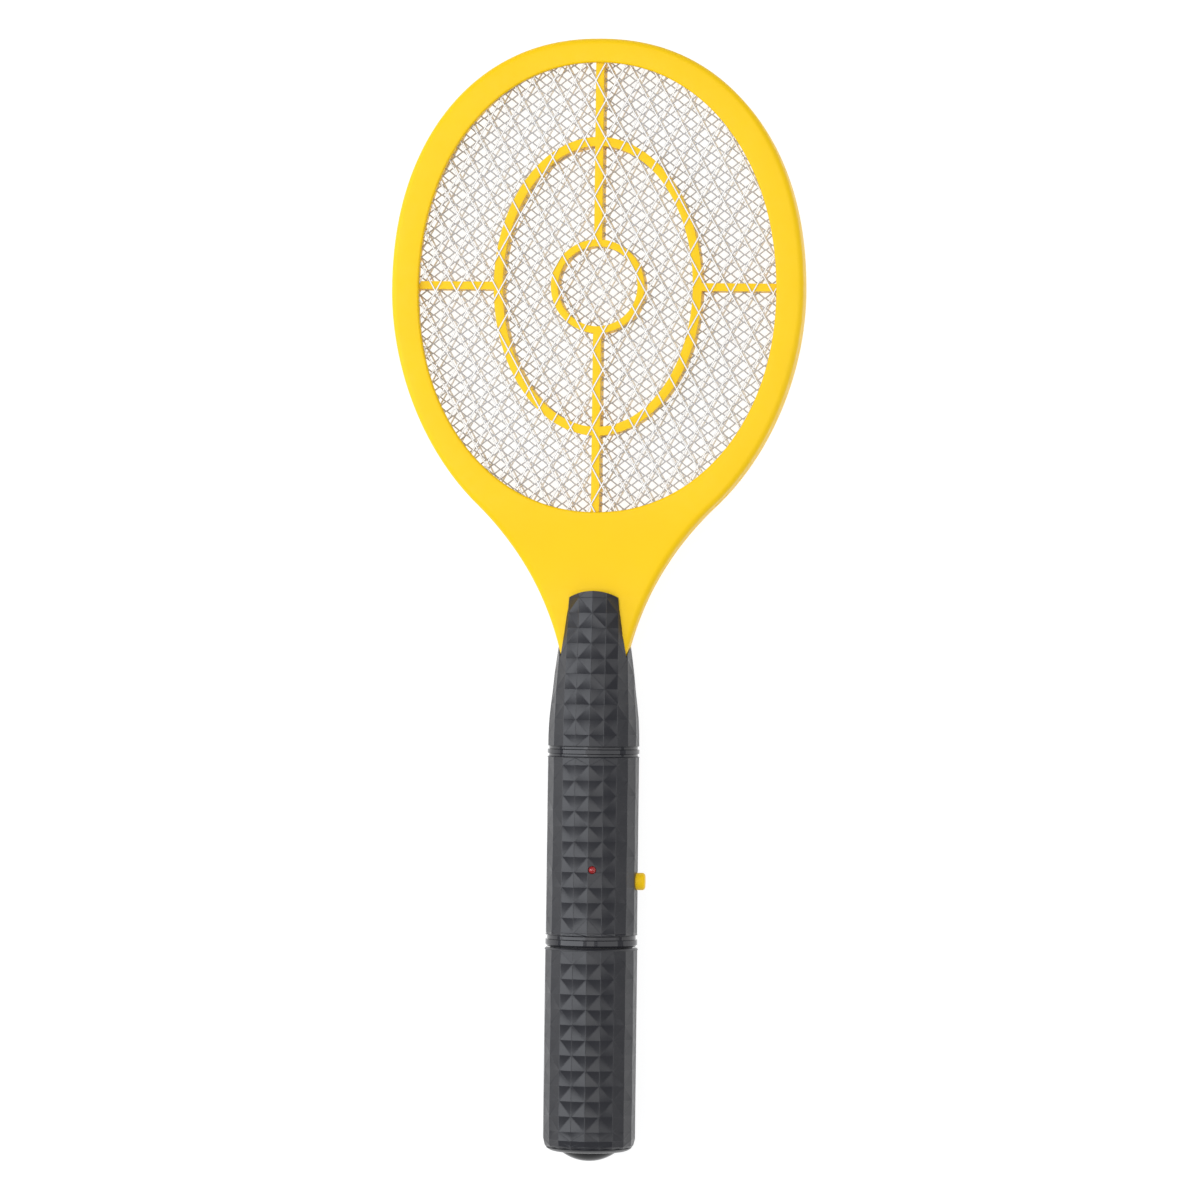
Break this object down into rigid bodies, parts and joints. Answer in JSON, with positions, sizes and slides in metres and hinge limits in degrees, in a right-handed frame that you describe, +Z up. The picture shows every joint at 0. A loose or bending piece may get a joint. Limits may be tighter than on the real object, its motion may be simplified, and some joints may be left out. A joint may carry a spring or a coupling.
{
  "type": "electric fly swatter",
  "caption": "Racket-shaped electric fly swatter with a ribbed three-layer mesh head, a side push button, a lamp and a pull-off battery cover.",
  "frame": {"origin": "centre of the footprint, on the surface that the swatter lies on", "axes": "+X across the head towards the power button, +Y from the butt of the grip to the top of the head, +Z up out of the front face"},
  "size_m": [0.1622, 0.44, 0.0372],
  "materials": {
    "yellow_plastic": "glossy",
    "black_plastic": "satin",
    "gloss_black_plastic": "glossy",
    "tray_plastic": "satin",
    "mesh_metal": "bright",
    "screw_steel": "zinc plated",
    "contact_nickel": "nickel plated",
    "red_lens": "clear red",
    "cell_jacket": "glossy",
    "board_green": "satin",
    "switch_plastic": "satin",
    "ferrite": "matte",
    "coil_tape": "satin",
    "film_capacitor": "glossy",
    "disc_capacitor": "matte",
    "black_epoxy": "matte",
    "resistor_lacquer": "satin",
    "wire_red": "satin",
    "wire_black": "satin"
  },
  "bodies": {
    "racket": {"head_front_frame": "yellow_plastic", "head_rear_frame": "yellow_plastic", "front_spacer_grid": "yellow_plastic", "rear_spacer_grid": "yellow_plastic", "front_mesh": "mesh_metal", "centre_mesh": "mesh_metal", "rear_mesh": "mesh_metal", "head_screws": "screw_steel", "grip_front_shell": "black_plastic", "grip_rear_shell": "black_plastic", "grip_screws": "screw_steel", "battery_tray": "tray_plastic", "battery_left": "cell_jacket", "battery_right": "cell_jacket", "battery_bridge_contact": "contact_nickel", "positive_contact": "contact_nickel", "negative_contact": "contact_nickel", "circuit_board": "board_green", "pcb_screws": "screw_steel", "switch_body": "switch_plastic", "status_led": "red_lens", "led_leads": "contact_nickel", "transformer_core": "ferrite", "transformer_coil": "coil_tape", "hv_capacitor": "film_capacitor", "multiplier_capacitors": "disc_capacitor", "rectifier_diodes": "black_epoxy", "driver_transistor": "black_epoxy", "resistors": "resistor_lacquer", "centre_mesh_wire": "wire_red", "front_mesh_wire": "wire_black", "rear_mesh_wire": "wire_black", "positive_battery_wire": "wire_red", "negative_battery_wire": "wire_black"},
    "cover": {"battery_cover": "black_plastic", "end_plug": "gloss_black_plastic"},
    "button": {"power_button": "yellow_plastic", "switch_plunger": "switch_plastic"}
  },
  "joints": [
    {"name": "cover_slide", "type": "slide", "parent": "racket", "child": "cover", "axis": [0, -1, 0], "range_m": [0, 0.082]},
    {"name": "button_press", "type": "slide", "parent": "racket", "child": "button", "axis": [-1, 0, 0], "range_m": [0, 0.0012], "stiffness_N_per_m": 2000}
  ]
}
